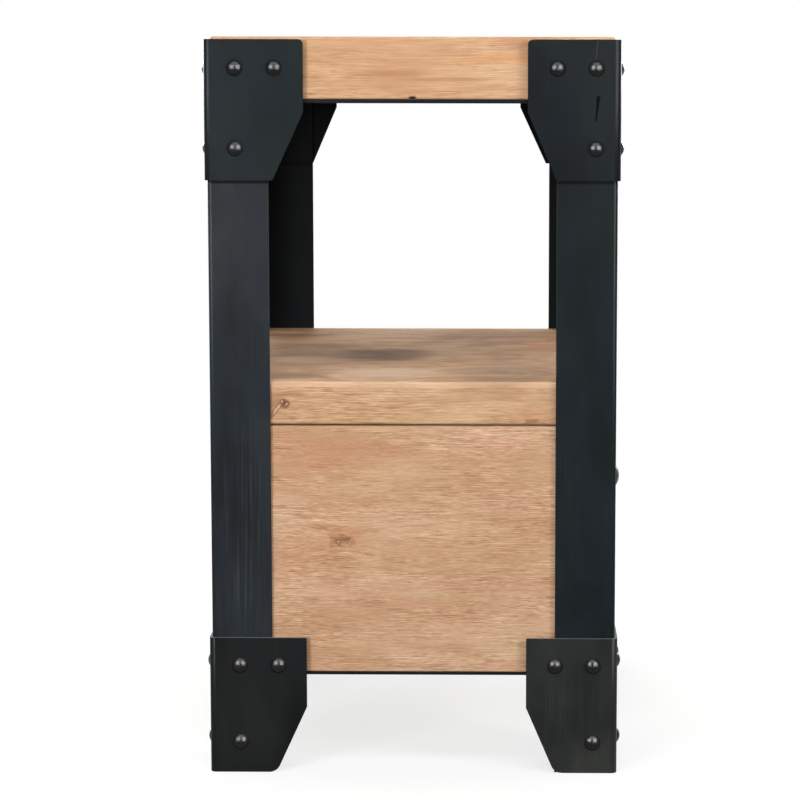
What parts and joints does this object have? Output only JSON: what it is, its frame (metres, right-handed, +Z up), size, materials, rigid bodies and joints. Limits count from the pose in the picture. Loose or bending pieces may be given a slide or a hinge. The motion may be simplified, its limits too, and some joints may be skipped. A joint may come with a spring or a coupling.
{
  "type": "side table with drawer",
  "caption": "Industrial side table: thick wooden top, open bay and wooden cabinet with a drawer, held by black steel angle posts and folded corner plates with domed fasteners.",
  "frame": {"origin": "on the floor, under the middle of the table's bounding box, knob and fastener heads included", "axes": "+Z up, the drawer opens towards -Y, +X to the right of a person who faces the drawer"},
  "size_m": [0.4102, 0.3182, 0.55],
  "materials": {
    "domed_fastener": "glossy black, domed",
    "corner_plate": "satin blue-black, faint vertical brushing",
    "post_steel": "satin blue-black, faint vertical brushing",
    "rail_steel": "satin blue-black",
    "black_screw": "satin black, countersunk",
    "tabletop_wood": "acacia, satin lacquer, long grain",
    "shelf_wood": "acacia, satin lacquer, long grain",
    "panel_wood": "acacia, satin lacquer, long grain",
    "front_wood": "acacia, satin lacquer, long grain",
    "plain_wood": "plain sawn wood",
    "drawer_wood": "plain sanded wood",
    "runner_wood": "plain hardwood",
    "plywood": "thin plywood",
    "dowel_wood": "beech dowel",
    "knob_metal": "satin black",
    "zinc_screw": "zinc plated"
  },
  "bodies": {
    "table": {"back_panel": "panel_wood", "bottom_board": "plain_wood", "cabinet_dowels": "dowel_wood", "cabinet_rail_front": "rail_steel", "cabinet_rail_left": "rail_steel", "cabinet_rail_rear": "rail_steel", "cabinet_rail_right": "rail_steel", "cabinet_rail_screws": "black_screw", "drawer_guide_left": "runner_wood", "drawer_guide_right": "runner_wood", "drawer_kicker_left": "runner_wood", "drawer_kicker_right": "runner_wood", "drawer_runner_left": "runner_wood", "drawer_runner_right": "runner_wood", "foot_fasteners_front_left": "domed_fastener", "foot_fasteners_front_right": "domed_fastener", "foot_fasteners_rear_left": "domed_fastener", "foot_fasteners_rear_right": "domed_fastener", "foot_plate_front_left": "corner_plate", "foot_plate_front_right": "corner_plate", "foot_plate_rear_left": "corner_plate", "foot_plate_rear_right": "corner_plate", "front_rail": "shelf_wood", "guide_screws": "zinc_screw", "kicker_screws": "zinc_screw", "post_front_left": "post_steel", "post_front_right": "post_steel", "post_rear_left": "post_steel", "post_rear_right": "post_steel", "pull_stop": "runner_wood", "pull_stop_screw": "zinc_screw", "rear_stops": "runner_wood", "runner_screws": "zinc_screw", "shelf_board": "shelf_wood", "side_panel_left": "panel_wood", "side_panel_right": "panel_wood", "tabletop": "tabletop_wood", "top_fasteners_front_left": "domed_fastener", "top_fasteners_front_right": "domed_fastener", "top_fasteners_rear_left": "domed_fastener", "top_fasteners_rear_right": "domed_fastener", "top_plate_front_left": "corner_plate", "top_plate_front_right": "corner_plate", "top_plate_rear_left": "corner_plate", "top_plate_rear_right": "corner_plate", "top_rail_front": "rail_steel", "top_rail_left": "rail_steel", "top_rail_rear": "rail_steel", "top_rail_right": "rail_steel", "top_rail_screws": "black_screw"},
    "drawer": {"drawer_back": "drawer_wood", "drawer_bottom": "plywood", "drawer_bottom_screws": "zinc_screw", "drawer_dowels": "dowel_wood", "drawer_front": "front_wood", "drawer_screws": "zinc_screw", "drawer_side_left": "drawer_wood", "drawer_side_right": "drawer_wood", "knob": "knob_metal", "knob_screw": "zinc_screw"}
  },
  "joints": [
    {"name": "drawer_slide", "type": "slide", "parent": "table", "child": "drawer", "axis": [0, -1, 0], "range_m": [0, 0.2]}
  ]
}
